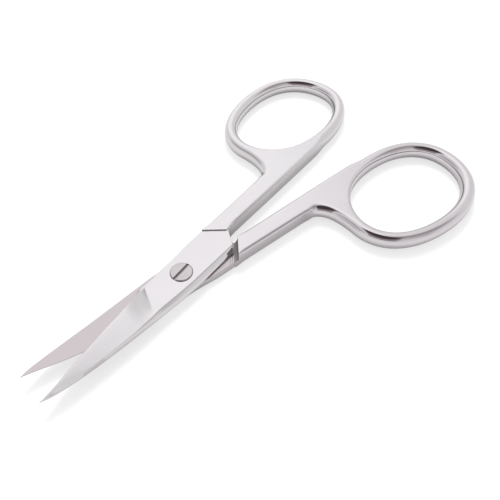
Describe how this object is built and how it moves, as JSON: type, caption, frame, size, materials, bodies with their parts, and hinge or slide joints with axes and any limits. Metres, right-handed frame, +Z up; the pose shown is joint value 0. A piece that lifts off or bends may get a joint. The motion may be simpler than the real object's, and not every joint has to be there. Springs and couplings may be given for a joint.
{
  "type": "nail scissors",
  "caption": "Small straight nail scissors with oval finger rings, tapering pointed blades and a lapped joint on a slotted pivot screw, lying slightly open.",
  "frame": {"origin": "centre of the bounding box at its underside, on the surface the scissors lie on", "axes": "+Y along the scissors from the blades towards the finger rings, +Z up through their thickness, +X towards the ring of the rear half"},
  "size_m": [0.0574, 0.092, 0.0034],
  "materials": {
    "rear_half_steel": "satin flats with polished rings and edges",
    "front_half_steel": "satin flats with polished rings and edges",
    "pivot_screw_steel": "satin turned steel"
  },
  "bodies": {
    "rear": {"rear_half": "rear_half_steel", "pivot_screw": "pivot_screw_steel"},
    "front": {"front_half": "front_half_steel"}
  },
  "joints": [
    {"name": "pivot", "type": "hinge", "parent": "rear", "child": "front", "pos_m": [0, -0.0157, 0.0017], "axis": [0, 0, 1], "range_deg": [-10.8, 60]}
  ]
}
